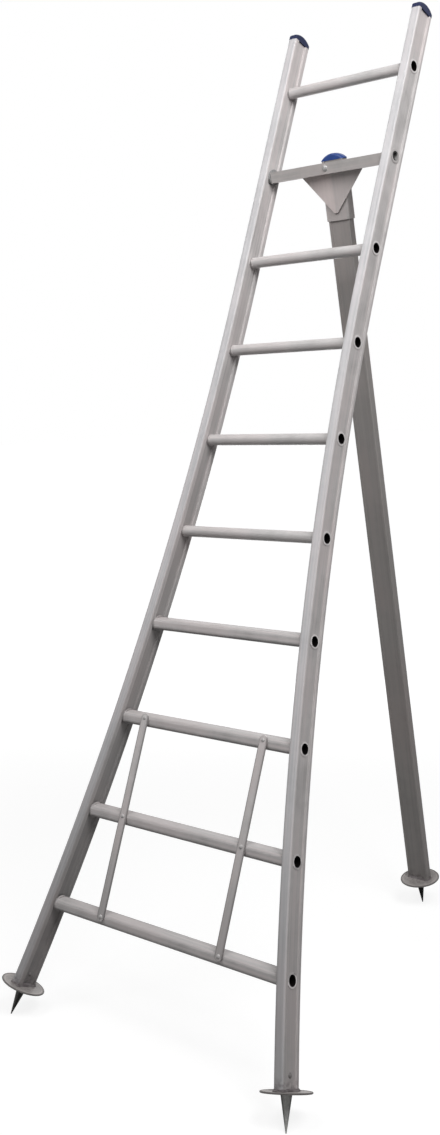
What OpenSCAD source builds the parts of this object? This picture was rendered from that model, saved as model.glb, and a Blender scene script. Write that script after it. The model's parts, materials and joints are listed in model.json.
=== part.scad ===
// Cherry picking ladder with a hinged rear pole, standing open. Millimetres, Z up, front towards -Y.

/* [Ladder] */
// distance between rung centres up the ladder
rung_pitch = 280; // [250:1:300]
// lean of the open ladder from upright, degrees
ladder_lean = 21.9; // [19:0.1:25]
// angle between the ladder and the open pole, degrees
open_angle = 31.3; // [28:0.1:34]
// stile above the top rung
top_rise = 170; // [120:1:260]
// stile below the lowest rung
foot_drop = 250; // [180:1:300]

/* [Stiles] */
// stile section across the ladder
stile_w = 30; // [28:0.5:36]
// stile section from front to back
stile_d = 68; // [67:0.5:80]
// stile corner radius
stile_corner = 4; // [2:0.5:5]
// depth of the recess in both wide faces
stile_recess = 5; // [3:0.5:6]
// width of the edge beads on the outer face
outer_bead = 13; // [8:0.5:13]
// width of the edge beads on the inner face
inner_bead = 17; // [10:0.5:17]
// stile wall
stile_wall = 3; // [2:0.25:3.5]
// half the spacing of the straight stile tops
stile_half = 223; // [190:1:260]
// height up the ladder where the outward bend starts
bend_start = 1916; // [1600:1:1960]
// radius of the outward bend
bend_radius = 9140; // [8000:10:11000]

/* [Rungs] */
// round rung outside diameter
rung_od = 32; // [28:0.5:32.5]
// round rung wall
rung_wall = 2; // [1.5:0.25:3]
// diameter of the flared rim
rim_od = 39.5; // [36:0.5:41]
// thickness of the flared rim
rim_thick = 1.8; // [1:0.1:3]
// diameter of the swaged collar on the inner face of a stile
collar_od = 47; // [42:0.5:52]
// thickness of the swaged collar
collar_thick = 5; // [3:0.25:7]
// depth of a lower rung from front to back
tread_d = 42; // [38:0.5:48]
// height of a lower rung
tread_h = 33; // [32.5:0.5:40]
// corner radius of a lower rung
tread_corner = 9; // [8:0.5:12]
// wall of a lower rung
tread_wall = 2.5; // [2:0.25:3]
// length of the closed end of a lower rung
tread_end = 8; // [7:0.5:14]

/* [Straps] */
// strap width
strap_w = 25; // [20:0.5:32]
// strap thickness
strap_thick = 4; // [3:0.25:6]
// distance of a strap from the middle of the ladder
strap_half = 217; // [150:1:260]
// strap rivet head diameter
rivet_head = 12; // [9:0.5:14]
// strap rivet head height
rivet_rise = 3.5; // [2:0.25:4.5]
// strap rivet shank diameter
rivet_shank = 6; // [4:0.5:6]
// length of the rivet tail inside a lower rung
rivet_tail = 3; // [2:0.25:4]

/* [Feet] */
// foot plate diameter
disc_od = 130; // [100:1:150]
// foot plate thickness
disc_thick = 3; // [2:0.25:3.5]
// diameter of the rolled edge of a foot plate
disc_bead = 5; // [4:0.5:8]
// spike length below the end of a stile or the pole
spike_len = 94; // [70:1:120]
// spike diameter under the foot plate
spike_base = 30; // [20:0.5:40]
// diameter of the rounded spike tip
spike_tip = 3; // [2:0.5:6]
// length of the spike shank inside the plug
shank_len = 25; // [15:0.5:28]
// length of the plug inside a stile or the pole
plug_len = 50; // [48:0.5:60]
// foot rivet diameter
foot_rivet = 8; // [6:0.5:9]
// foot rivet head diameter
foot_head = 14; // [11:0.5:16]
// foot rivet head height
foot_head_rise = 4; // [2:0.25:4.5]
// height of the foot rivet above the foot plate
foot_rivet_up = 36; // [34:0.5:42]

/* [Pole] */
// pole section across
pole_w = 76; // [60:0.5:90]
// pole section from front to back
pole_d = 25; // [22:0.5:32]
// pole corner radius
pole_corner = 3; // [1.5:0.5:4]
// width of the edge beads on the wide pole faces
pole_bead = 10; // [6:0.5:16]
// depth of the recess in the wide pole faces
pole_recess = 1.5; // [0.5:0.25:2.5]
// pole wall
pole_wall = 3; // [2:0.25:3.5]
// pole above the pivot
pole_rise = 21; // [20:0.5:40]

/* [Bracket] */
// top of the crossbar above the pivot
bar_up = 15; // [14.5:0.5:22]
// underside of the crossbar below the pivot
bar_down = 17; // [15:0.5:26]
// crossbar depth from front to back
bar_d = 35; // [32:0.5:44]
// crossbar wall
bar_wall = 3; // [2:0.25:3.25]
// pivot tube outside diameter
tube_od = 22; // [18:0.5:22.5]
// pivot tube wall
tube_wall = 2.5; // [2:0.25:4]
// pivot washer diameter
washer_od = 46; // [40:0.5:60]
// pivot washer thickness
washer_thick = 5; // [3:0.25:8]
// bracket sleeve wall
sleeve_wall = 3.25; // [2:0.25:5]
// outer corner radius of the bracket sleeve
sleeve_corner = 5; // [4:0.5:7]
// top of the bracket sleeve above the pivot
sleeve_up = 14; // [6:0.5:20]
// lower end of the bracket sleeve below the pivot
sleeve_down = 153; // [120:1:200]
// half the width of the gusset under the crossbar
gusset_half = 106; // [80:1:150]
// gusset tip below the pivot
gusset_drop = 131; // [100:1:150]
// width of the blunt gusset tip
gusset_tip = 12; // [6:0.5:30]
// gusset thickness
gusset_thick = 3.5; // [2:0.25:5]
// angle by which each gusset wing is folded back, degrees
gusset_sweep = 3.5; // [1:0.1:4.5]
// gap between the gusset and the sleeve behind it
gusset_gap = 10; // [4:0.25:12]
// crossbar bolt diameter
bar_bolt = 8; // [6:0.5:9]
// crossbar bolt head diameter
bar_head = 14; // [11:0.5:20]
// crossbar bolt head height
bar_head_rise = 5; // [3:0.25:6]

/* [Caps] */
// middle of a stile cap above the stile
cap_rise = 24; // [16:0.5:30]
// rise of the arch of a stile cap
cap_arch = 11; // [4:0.5:14]
// edge radius on top of a stile cap
cap_round = 7; // [3:0.5:10]
// cap skirt inside a stile or the pole
cap_skirt = 25; // [10:0.5:40]
// rise of the arch of the pole cap
arch_rise = 16; // [6:0.5:20]
// height of the pole cap at the ends of its arch
arch_base = 3; // [2:0.5:6]
// edge radius on top of the pole cap
arch_round = 7; // [2:0.5:10]

/* [Fits] */
// gap where one part rests on another
seat_gap = 0.05; // [0.02:0.01:0.15]
// radial clearance of the rungs and rivets in their holes
hole_fit = 0.1; // [0.05:0.01:0.2]
// radial running clearance of the pivot tube
pivot_fit = 0.05; // [0.02:0.01:0.1]
// clearance of plugs and cap skirts in their hollow
plug_gap = 0.3; // [0.25:0.05:0.6]
// gap between parts that move past each other
free_gap = 0.5; // [0.3:0.1:1]
// clearance of the pole in its sleeve
sleeve_gap = 0.25; // [0.1:0.05:0.5]
// overrun of cuts
over = 1; // [0.5:0.1:3]

/* [Hidden] */
$fn = 48;
bend_fn = 1440;
arch_fn = 96;
// share of the plug width taken by the spike shank
shank_share = 0.7;
// share of the inner corner radius of a lower rung taken by the rivet tail
tail_share = 0.62;

// heights up the ladder
top_spot = 9;
pivot_spot = 8;
top_t = top_spot * rung_pitch + top_rise;
pivot_t = pivot_spot * rung_pitch;

// stile bend
bend_angle = asin((bend_start + foot_drop) / bend_radius);
foot_x = stile_half + bend_radius * (1 - cos(bend_angle));
floor_off = stile_w / 2 - stile_recess;
core_w = stile_w - 2 * stile_recess - 2 * stile_wall;
core_d = stile_d - 2 * stile_wall;

// lower rungs, level when the ladder stands open
flat_d = tread_d / 2 - tread_corner;
flat_h = tread_h / 2 - tread_corner;
rivet_n = -flat_d * cos(ladder_lean) - flat_h * sin(ladder_lean);
rivet_t = flat_h * cos(ladder_lean) - flat_d * sin(ladder_lean);
strap_n = rivet_n - tread_corner - seat_gap;
tread_hollow_r = tread_corner - tread_wall;
tail_r = tail_share * tread_hollow_r;
tail_n = sqrt(tread_hollow_r * tread_hollow_r - tail_r * tail_r) - plug_gap;

// feet
disc_r = disc_od / 2;
bead_r = disc_bead / 2;
disc_ring = disc_r - bead_r;
spike_r = spike_base / 2;
tip_r = spike_tip / 2;
tip_drop = spike_len - tip_r;
plug_w = core_w - 2 * plug_gap;
plug_d = core_d - 2 * plug_gap;
shank_r = plug_w * shank_share / 2;

// pole and pivot
pole_axis = bar_d / 2 + sleeve_wall + sleeve_gap + pole_d / 2;
pole_floor = pole_d / 2 - pole_recess;
pole_core_w = pole_w - 2 * pole_wall;
pole_core_d = pole_d - 2 * pole_recess - 2 * pole_wall;
tube_r = tube_od / 2;
tube_half = stile_half + floor_off + seat_gap + rim_thick;
washer_x = stile_half - stile_w / 2 - seat_gap - washer_thick;
bar_half = washer_x - free_gap;
gusset_y = bar_d / 2 - gusset_gap - gusset_thick;
arch_r = (pole_w * pole_w / 4 + arch_rise * arch_rise) / (2 * arch_rise);
cap_arch_r = (stile_d * stile_d / 4 + cap_arch * cap_arch) / (2 * cap_arch);

// standing height and pole length: all three spike tips touch the ground
pole_lean = open_angle - ladder_lean;
ladder_z = (foot_drop + tip_drop * cos(bend_angle)) * cos(ladder_lean) + tip_r;
pivot_z = ladder_z + pivot_t * cos(ladder_lean);
pole_reach = (pivot_z - tip_r + pole_axis * sin(pole_lean)) / cos(pole_lean);
pole_end = pole_reach - tip_drop;

// place from front to back: the origin is the middle of the footprint
disc_tilt = cos(bend_angle) * sin(ladder_lean);
front_t = -foot_drop - disc_thick / 2 * cos(bend_angle);
front_y = front_t * sin(ladder_lean) - disc_ring * sqrt(1 - disc_tilt * disc_tilt) - bead_r;
swing_y = pole_axis * cos(pole_lean) + (pole_end + disc_thick / 2) * sin(pole_lean);
rear_y = pivot_t * sin(ladder_lean) + swing_y + disc_ring * cos(pole_lean) + bead_r;
ladder_y = -(front_y + rear_y) / 2;
pivot_y = ladder_y + pivot_t * sin(ladder_lean);

// slope of the stile face at a height up the ladder, off outwards from the middle of the stile
function bend_at(t, off) = t < bend_start ? asin((bend_start - t) / (bend_radius - off)) : 0;

// distance of that face from the middle of the ladder
function face_x(t, off) = t < bend_start
    ? stile_half + bend_radius - (bend_radius - off) * cos(bend_at(t, off))
    : stile_half + off;

// ladder frame: x across, y behind the rungs, z up the ladder
module in_ladder() {
    translate([0, ladder_y, ladder_z])
        rotate([-ladder_lean, 0, 0])
            children();
}

// pole frame: x across, y behind the pivot, z up the pole
module in_pole() {
    translate([0, pivot_y, pivot_z])
        rotate([pole_lean, 0, 0])
            children();
}

// end of the right stile, z up the stile
module at_foot() {
    in_ladder()
        translate([foot_x, 0, -foot_drop])
            rotate([0, -bend_angle, 0])
                children();
}

// end of the pole, z up the pole
module at_pole_foot() {
    in_pole()
        translate([0, pole_axis, -pole_end])
            children();
}

// point on the right stile, z out of its outer face
module at_face(t, off) {
    translate([face_x(t, off), 0, t])
        rotate([0, 90 - bend_at(t, off), 0])
            children();
}

module flip() {
    mirror([1, 0, 0])
        children();
}

module both_sides() {
    children();
    flip()
        children();
}

// cylinder along x, centred
module across(r, length) {
    rotate([0, 90, 0])
        cylinder(r = r, h = length, center = true);
}

// rectangle with round corners
module rounded(w, d, r) {
    square([w - 2 * r, d], center = true);
    square([w, d - 2 * r], center = true);
    for (x = [-1, 1], y = [-1, 1])
        translate([x * (w / 2 - r), y * (d / 2 - r)])
            circle(r = r, $fn = 32);
}

// rectangle on the base line with two round corners on top
module bullet(w, h, r) {
    translate([-w / 2, 0])
        square([w, h - r]);
    translate([r - w / 2, 0])
        square([w - 2 * r, h]);
    for (x = [-1, 1])
        translate([x * (w / 2 - r), h - r])
            circle(r = r);
}

// wheel that stands across y with its top at a given height and round edges on its rim
module arch(radius, thick, edge, high) {
    translate([0, 0, high - radius])
        rotate([90, 0, 0])
            rotate_extrude($fn = arch_fn)
                rotate(-90)
                    bullet(thick, radius, edge);
}

// domed head on the z = 0 plane
module dome(d, h) {
    ball = (d * d / 4 + h * h) / (2 * h);
    intersection() {
        translate([0, 0, h - ball])
            sphere(r = ball);
        cylinder(r = d, h = 2 * h);
    }
}

// stile section, outer face towards +x
module stile_section() {
    outer_w = stile_d - 2 * outer_bead;
    inner_w = stile_d - 2 * inner_bead;
    difference() {
        rounded(stile_w, stile_d, stile_corner);
        translate([floor_off, -outer_w / 2])
            square([stile_recess + over, outer_w]);
        translate([-floor_off - stile_recess - over, -inner_w / 2])
            square([stile_recess + over, inner_w]);
        difference() {
            square([stile_w - 2 * stile_wall, core_d], center = true);
            translate([core_w / 2, -outer_w / 2 - stile_wall])
                square([stile_w, outer_w + 2 * stile_wall]);
            translate([-core_w / 2 - stile_w, -inner_w / 2 - stile_wall])
                square([stile_w, inner_w + 2 * stile_wall]);
        }
    }
}

// one stile: straight on top, bent outwards below, with a hole for each rung
module stile() {
    difference() {
        union() {
            in_ladder()
                translate([stile_half, 0, bend_start])
                    linear_extrude(top_t - bend_start)
                        stile_section();
            in_ladder()
                translate([stile_half + bend_radius, 0, bend_start])
                    rotate([90, 180, 0])
                        rotate_extrude(angle = bend_angle, $fn = bend_fn)
                            translate([bend_radius, 0])
                                mirror([1, 0])
                                    stile_section();
        }
        in_ladder()
            for (spot = [0 : top_spot])
                translate([face_x(spot * rung_pitch, 0), 0, spot * rung_pitch])
                    across(rung_od / 2 + hole_fit, 2 * stile_w);
        at_foot()
            translate([0, 0, foot_rivet_up])
                across(foot_rivet / 2 + hole_fit, 2 * stile_w);
    }
}

// disc with a round edge on the z = 0 plane
module round_edged(d, thick) {
    rotate_extrude() {
        square([d / 2 - thick / 2, thick]);
        translate([d / 2 - thick / 2, thick / 2])
            circle(r = thick / 2);
    }
}

// flared rim of a rung on the outer face of the right stile
module rim(t) {
    at_face(t, floor_off + seat_gap)
        round_edged(rim_od, rim_thick);
}

// swaged collar of a rung on the inner face of the right stile
module collar(t) {
    at_face(t, -stile_w / 2 - seat_gap)
        translate([0, 0, -collar_thick])
            round_edged(collar_od, collar_thick);
}

// everything outside a plane that follows the stile face
module trim(t, off) {
    at_face(t, off)
        cylinder(r = 2 * rim_od, h = 2 * rim_od);
}

// round rung through both stiles
module round_rung(spot) {
    t = spot * rung_pitch;
    reach = face_x(t, floor_off) + rim_od / 2;
    in_ladder()
        difference() {
            union() {
                difference() {
                    translate([0, 0, t])
                        across(rung_od / 2, 2 * reach);
                    both_sides()
                        trim(t, floor_off + seat_gap + rim_thick / 2);
                }
                both_sides() {
                    rim(t);
                    collar(t);
                }
            }
            translate([0, 0, t])
                across(rung_od / 2 - rung_wall, 2 * reach + 2 * over);
        }
}

// bar along x with the section of a lower rung, level when the ladder stands open
module level_bar(t, d, h, r, length) {
    translate([0, 0, t])
        rotate([ladder_lean, 0, 0])
            rotate([90, 0, 90])
                linear_extrude(length, center = true)
                    rounded(d, h, r);
}

// lower rung with a flat band to stand on and round ends through both stiles
module tread(spot) {
    t = spot * rung_pitch;
    reach = face_x(t, floor_off) + rim_od / 2;
    hollow = face_x(t, -stile_w / 2) - seat_gap - collar_thick / 2 - tread_end;
    spigot = hollow + tread_end / 4;
    in_ladder()
        difference() {
            union() {
                difference() {
                    level_bar(t, tread_d, tread_h, tread_corner, 2 * reach);
                    both_sides()
                        trim(t, -stile_w / 2 - seat_gap - collar_thick / 2);
                }
                both_sides()
                    difference() {
                        translate([(reach + spigot) / 2, 0, t])
                            across(rung_od / 2, reach - spigot);
                        trim(t, floor_off + seat_gap + rim_thick / 2);
                    }
                both_sides() {
                    rim(t);
                    collar(t);
                }
            }
            level_bar(t, tread_d - 2 * tread_wall, tread_h - 2 * tread_wall, tread_hollow_r, 2 * hollow);
            translate([0, 0, t])
                across(rung_od / 2 - rung_wall, 2 * reach + 2 * over);
        }
}

// lower rung with the holes of the strap rivets
module strapped_tread(spot) {
    difference() {
        tread(spot);
        in_ladder()
            both_sides()
                translate([strap_half, rivet_n, spot * rung_pitch + rivet_t])
                    rotate([90, 0, 0])
                        cylinder(r = rivet_shank / 2 + hole_fit, h = tread_corner + over);
    }
}

// flat strap over the three lowest rungs
module strap() {
    last_spot = 2;
    in_ladder()
        translate([strap_half, strap_n, rivet_t])
            rotate([90, 0, 0])
                linear_extrude(strap_thick)
                    difference() {
                        union() {
                            translate([-strap_w / 2, 0])
                                square([strap_w, last_spot * rung_pitch]);
                            for (spot = [0, last_spot])
                                translate([0, spot * rung_pitch])
                                    circle(r = strap_w / 2);
                        }
                        for (spot = [0 : last_spot])
                            translate([0, spot * rung_pitch])
                                circle(r = rivet_shank / 2 + hole_fit);
                    }
}

module right_strap() {
    color("silver")
        strap();
}

module left_strap() {
    color("silver")
        flip()
            strap();
}

// rivet through a strap and the front of a lower rung, z out of the strap
module strap_rivet() {
    head_z = tread_corner + strap_thick + 2 * seat_gap;
    translate([0, 0, head_z])
        dome(rivet_head, rivet_rise);
    translate([0, 0, tail_n - rivet_tail])
        cylinder(r = rivet_shank / 2, h = head_z - tail_n + rivet_tail);
    translate([0, 0, tail_n - rivet_tail])
        cylinder(r = tail_r, h = rivet_tail);
}

module strap_rivets() {
    color("lightgray")
        in_ladder()
            both_sides()
                for (spot = [0, 1, 2])
                    translate([strap_half, rivet_n, spot * rung_pitch + rivet_t])
                        rotate([90, 0, 0])
                            strap_rivet();
}

module right_stile() {
    color("silver")
        stile();
}

module left_stile() {
    color("silver")
        flip()
            stile();
}

module rung_1() {
    color("gainsboro")
        round_rung(9);
}

module rung_3() {
    color("gainsboro")
        round_rung(7);
}

module rung_4() {
    color("gainsboro")
        round_rung(6);
}

module rung_5() {
    color("gainsboro")
        round_rung(5);
}

module rung_6() {
    color("gainsboro")
        round_rung(4);
}

module rung_7() {
    color("gainsboro")
        tread(3);
}

module rung_8() {
    color("gainsboro")
        strapped_tread(2);
}

module rung_9() {
    color("gainsboro")
        strapped_tread(1);
}

module rung_10() {
    color("gainsboro")
        strapped_tread(0);
}

// flanged bush in the right stile for the pivot tube
module pivot_bush() {
    inner = -stile_w / 2;
    outer = floor_off + seat_gap + rim_thick / 2;
    in_ladder()
        difference() {
            union() {
                translate([stile_half + (inner + outer) / 2, 0, pivot_t])
                    across(rung_od / 2, outer - inner);
                rim(pivot_t);
            }
            translate([stile_half, 0, pivot_t])
                across(tube_r + pivot_fit, 2 * stile_w);
        }
}

module right_pivot_bush() {
    color("lightgray")
        pivot_bush();
}

module left_pivot_bush() {
    color("lightgray")
        flip()
            pivot_bush();
}

// washer between the right stile and the crossbar
module pivot_washer() {
    in_ladder()
        translate([washer_x + washer_thick / 2, 0, pivot_t])
            difference() {
                across(washer_od / 2, washer_thick);
                across(tube_r + free_gap, washer_thick + 2 * over);
            }
}

module right_pivot_washer() {
    color("darkgray")
        pivot_washer();
}

module left_pivot_washer() {
    color("darkgray")
        flip()
            pivot_washer();
}

// arched cap with a skirt in the hollow of the right stile
module stile_cap() {
    in_ladder()
        translate([stile_half, 0, top_t + seat_gap]) {
            intersection() {
                linear_extrude(cap_rise)
                    rounded(stile_w, stile_d, stile_corner);
                rotate([0, 0, 90])
                    arch(cap_arch_r, stile_w, cap_round, cap_rise);
            }
            translate([-plug_w / 2, -plug_d / 2, -cap_skirt])
                cube([plug_w, plug_d, cap_skirt + (cap_rise - cap_arch) / 2]);
        }
}

module right_stile_cap() {
    color("midnightblue")
        stile_cap();
}

module left_stile_cap() {
    color("midnightblue")
        flip()
            stile_cap();
}

// foot plate with a rolled edge under the z = 0 plane
module disc() {
    difference() {
        rotate_extrude($fn = arch_fn) {
            translate([0, -disc_thick])
                square([disc_ring, disc_thick]);
            translate([disc_ring, -disc_thick / 2])
                circle(r = bead_r, $fn = 24);
        }
        translate([0, 0, -disc_thick - over])
            cylinder(r = spike_r + hole_fit, h = disc_thick + 2 * over);
    }
}

// spike with its base set in the foot plate and its shank in the plug above
module spike() {
    translate([0, 0, -tip_drop])
        sphere(r = tip_r);
    rotate_extrude()
        polygon([
            [0, -tip_drop],
            [tip_r, -tip_drop],
            [spike_r, -disc_thick],
            [spike_r, -seat_gap],
            [shank_r, -seat_gap],
            [shank_r, shank_len],
            [0, shank_len]
        ]);
}

// hole of the spike shank in a plug
module shank_hole() {
    translate([0, 0, -over])
        cylinder(r = shank_r + hole_fit, h = shank_len + 2 * over);
}

// plug in the end of the right stile
module foot_plug() {
    at_foot()
        difference() {
            translate([-plug_w / 2, -plug_d / 2, seat_gap])
                cube([plug_w, plug_d, plug_len]);
            shank_hole();
            translate([0, 0, foot_rivet_up])
                across(foot_rivet / 2 + hole_fit, stile_w);
        }
}

// rivet across the end of the right stile
module cross_rivet() {
    seat = floor_off + 3 * seat_gap;
    at_foot()
        translate([0, 0, foot_rivet_up]) {
            across(foot_rivet / 2, 2 * seat);
            both_sides()
                translate([seat, 0, 0])
                    rotate([0, 90, 0])
                        dome(foot_head, foot_head_rise);
        }
}

module right_foot_disc() {
    color("gray")
        at_foot()
            disc();
}

module left_foot_disc() {
    color("gray")
        flip()
            at_foot()
                disc();
}

module right_spike() {
    color("dimgray")
        at_foot()
            spike();
}

module left_spike() {
    color("dimgray")
        flip()
            at_foot()
                spike();
}

module right_foot_plug() {
    color("darkgray")
        foot_plug();
}

module left_foot_plug() {
    color("darkgray")
        flip()
            foot_plug();
}

module foot_rivets() {
    color("lightgray")
        both_sides()
            cross_rivet();
}

// tube on which the pole swings, open at both ends
module pivot_tube() {
    color("silver")
        in_pole()
            difference() {
                across(tube_r, 2 * tube_half);
                across(tube_r - tube_wall, 2 * tube_half + 2 * over);
                rotate([90, 0, 0])
                    cylinder(r = bar_bolt / 2 + hole_fit, h = tube_od + 2 * over, center = true);
            }
}

// channel between the stiles, open to the rear
module crossbar() {
    color("silver")
        in_pole()
            difference() {
                translate([-bar_half, -bar_d / 2, -bar_down])
                    cube([2 * bar_half, bar_d, bar_up + bar_down]);
                translate([-bar_half - over, bar_wall - bar_d / 2, bar_wall - bar_down])
                    cube([2 * bar_half + 2 * over, bar_d, bar_up + bar_down - 2 * bar_wall]);
                rotate([90, 0, 0])
                    cylinder(r = bar_bolt / 2 + hole_fit, h = bar_d + over);
            }
}

// bolt through the crossbar and the pivot tube
module crossbar_bolt() {
    color("lightgray")
        in_pole()
            rotate([90, 0, 0]) {
                translate([0, 0, bar_d / 2 + seat_gap])
                    dome(bar_head, bar_head_rise);
                translate([0, 0, -tube_r])
                    cylinder(r = bar_bolt / 2, h = tube_r + bar_d / 2 + 2 * seat_gap);
            }
}

// sleeve round the top of the pole
module bracket_sleeve() {
    inner_w = pole_w + 2 * sleeve_gap;
    inner_d = pole_d + 2 * sleeve_gap;
    color("silver")
        in_pole()
            translate([0, pole_axis, -sleeve_down])
                linear_extrude(sleeve_up + sleeve_down)
                    difference() {
                        rounded(inner_w + 2 * sleeve_wall, inner_d + 2 * sleeve_wall, sleeve_corner);
                        rounded(inner_w, inner_d, pole_corner);
                    }
}

// folded triangular plate under the crossbar
module bracket_gusset() {
    color("silver")
        in_pole()
            translate([0, gusset_y, -bar_down - seat_gap])
                both_sides()
                    rotate([0, 0, gusset_sweep])
                        rotate([90, 0, 0])
                            translate([0, 0, -gusset_thick])
                                linear_extrude(gusset_thick)
                                    polygon([
                                        [0, 0],
                                        [gusset_half, 0],
                                        [gusset_tip / 2, bar_down - gusset_drop],
                                        [0, bar_down - gusset_drop]
                                    ]);
}

// pole section with shallow recesses in the wide faces
module pole_section() {
    recess_w = pole_w - 2 * pole_bead;
    ear_w = recess_w + 2 * pole_wall;
    difference() {
        rounded(pole_w, pole_d, pole_corner);
        for (side = [-1, 1])
            translate([-recess_w / 2, side * (pole_floor + pole_d / 2) - pole_d / 2])
                square([recess_w, pole_d]);
        square([pole_core_w, pole_core_d], center = true);
        for (side = [-1, 1])
            translate([side * (ear_w + pole_core_w) / 4, 0])
                square([(pole_core_w - ear_w) / 2, pole_d - 2 * pole_wall], center = true);
    }
}

module pole() {
    color("silver")
        at_pole_foot()
            difference() {
                linear_extrude(pole_end + pole_rise)
                    pole_section();
                translate([0, 0, foot_rivet_up])
                    rotate([-90, 0, 0])
                        cylinder(r = foot_rivet / 2 + hole_fit, h = pole_d);
            }
}

// arched cap with a skirt in the hollow of the pole
module pole_cap() {
    high = arch_base + arch_rise;
    color("royalblue")
        in_pole()
            translate([0, pole_axis, pole_rise + seat_gap]) {
                intersection() {
                    linear_extrude(high)
                        rounded(pole_w, pole_d, pole_corner);
                    arch(arch_r, pole_d, arch_round, high);
                }
                translate([plug_gap - pole_core_w / 2, plug_gap - pole_core_d / 2, -cap_skirt])
                    cube([pole_core_w - 2 * plug_gap, pole_core_d - 2 * plug_gap, cap_skirt + arch_base / 2]);
            }
}

module pole_foot_disc() {
    color("gray")
        at_pole_foot()
            disc();
}

module pole_spike() {
    color("dimgray")
        at_pole_foot()
            spike();
}

// plug in the end of the pole
module pole_foot_plug() {
    color("darkgray")
        at_pole_foot()
            difference() {
                translate([plug_gap - pole_core_w / 2, plug_gap - pole_core_d / 2, seat_gap])
                    cube([pole_core_w - 2 * plug_gap, pole_core_d - 2 * plug_gap, plug_len]);
                shank_hole();
                translate([0, 0, foot_rivet_up])
                    rotate([-90, 0, 0])
                        cylinder(r = foot_rivet / 2 + hole_fit, h = pole_d);
            }
}

// rivet from the rear face of the pole into its plug
module pole_foot_rivet() {
    color("lightgray")
        at_pole_foot()
            translate([0, 0, foot_rivet_up])
                rotate([-90, 0, 0]) {
                    translate([0, 0, pole_floor + seat_gap])
                        dome(foot_head, foot_head_rise);
                    cylinder(r = foot_rivet / 2, h = pole_floor + 2 * seat_gap);
                }
}

left_stile();
right_stile();
rung_1();
rung_3();
rung_4();
rung_5();
rung_6();
rung_7();
rung_8();
rung_9();
rung_10();
left_pivot_bush();
right_pivot_bush();
left_pivot_washer();
right_pivot_washer();
left_stile_cap();
right_stile_cap();
left_strap();
right_strap();
strap_rivets();
left_foot_disc();
right_foot_disc();
left_spike();
right_spike();
left_foot_plug();
right_foot_plug();
foot_rivets();
pivot_tube();
crossbar();
crossbar_bolt();
bracket_sleeve();
bracket_gusset();
pole();
pole_cap();
pole_foot_disc();
pole_spike();
pole_foot_plug();
pole_foot_rivet();
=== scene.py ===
"""Looks of a cherry picking ladder: meshes, finishes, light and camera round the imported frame."""

import json
import logging
import math
from dataclasses import dataclass, field, replace
from enum import Enum
from typing import Callable, Dict, List, Mapping, Optional, Tuple, Union

import bpy
from mathutils import Matrix, Vector


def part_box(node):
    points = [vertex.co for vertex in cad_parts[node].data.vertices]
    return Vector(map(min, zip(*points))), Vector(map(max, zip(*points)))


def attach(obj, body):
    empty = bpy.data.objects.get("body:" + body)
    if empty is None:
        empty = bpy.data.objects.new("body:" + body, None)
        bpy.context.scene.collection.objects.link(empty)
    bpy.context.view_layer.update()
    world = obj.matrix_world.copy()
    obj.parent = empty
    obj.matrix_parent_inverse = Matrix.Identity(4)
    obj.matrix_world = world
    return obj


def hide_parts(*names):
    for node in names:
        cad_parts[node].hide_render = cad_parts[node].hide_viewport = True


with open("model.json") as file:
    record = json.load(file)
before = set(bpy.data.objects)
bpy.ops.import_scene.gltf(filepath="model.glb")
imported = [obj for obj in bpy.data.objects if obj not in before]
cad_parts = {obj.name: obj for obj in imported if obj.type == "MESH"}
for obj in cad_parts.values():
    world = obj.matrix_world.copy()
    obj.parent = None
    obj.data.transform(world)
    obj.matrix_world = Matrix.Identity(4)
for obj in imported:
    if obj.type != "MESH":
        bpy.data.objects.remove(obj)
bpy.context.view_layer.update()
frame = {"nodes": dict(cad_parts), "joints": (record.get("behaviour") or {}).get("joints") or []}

GRAIN = "grain"
ENDS = "ends"
MM = 0.001
NOISE_MIDDLE = 0.5
CLOUD_SWING = 0.3
PLATE_RADIUS = 65 * MM
RING_RADIUS = PLATE_RADIUS - 8 * MM
NO_WELDED_END = -9.0

log = logging.getLogger("ladder")

Colour = Tuple[float, float, float]
Triple = Tuple[float, float, float]
Span = Tuple[float, float]
Weights = Tuple[float, ...]
Number = Union["Signal", float]
Paint = Union["Signal", Colour]
Inputs = Dict[str, "Signal"]
Place = Callable[[Vector], Vector]


class Body(str, Enum):
    """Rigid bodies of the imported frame."""

    LADDER = "ladder"
    POLE = "pole"


class Slot(str, Enum):
    """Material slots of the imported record."""

    STILE = "stile_aluminium"
    RUNG = "rung_aluminium"
    POLE = "pole_aluminium"
    PLATE = "plate_steel"
    SPIKE = "dark_steel"
    FASTENER = "fastener_steel"
    GREY = "grey_plastic"
    NAVY = "navy_plastic"
    BLUE = "blue_plastic"


class Side(float, Enum):
    """Side of the ladder as the sign of x."""

    LEFT = -1.0
    RIGHT = 1.0


class Edge(float, Enum):
    """Width of the rounding on the edges of a piece, in metres."""

    AS_PACKED = 0.0
    TUBE = 0.3 * MM
    SAWN = 0.5 * MM
    POLE_CAP = 0.6 * MM
    FOLDED = 0.7 * MM
    STILE_CAP = 0.8 * MM


class Texture(Enum):
    """Number of finer layers in a noise pattern and their strength."""

    SOFT = (1.0, 0.5)
    PLAIN = (2.0, 0.5)
    FINE = (3.0, 0.5)
    PATCHY = (4.0, 0.6)
    LIVELY = (5.0, 0.6)
    SMEARED = (5.0, 0.65)


class Measure(Enum):
    """What a step runs along: an axis of the grain, the distance from its z axis or from the nearer end."""

    X = 0
    Y = 1
    Z = 2
    REACH = 3
    END = 4


X, Y, Z, REACH, END = Measure


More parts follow.
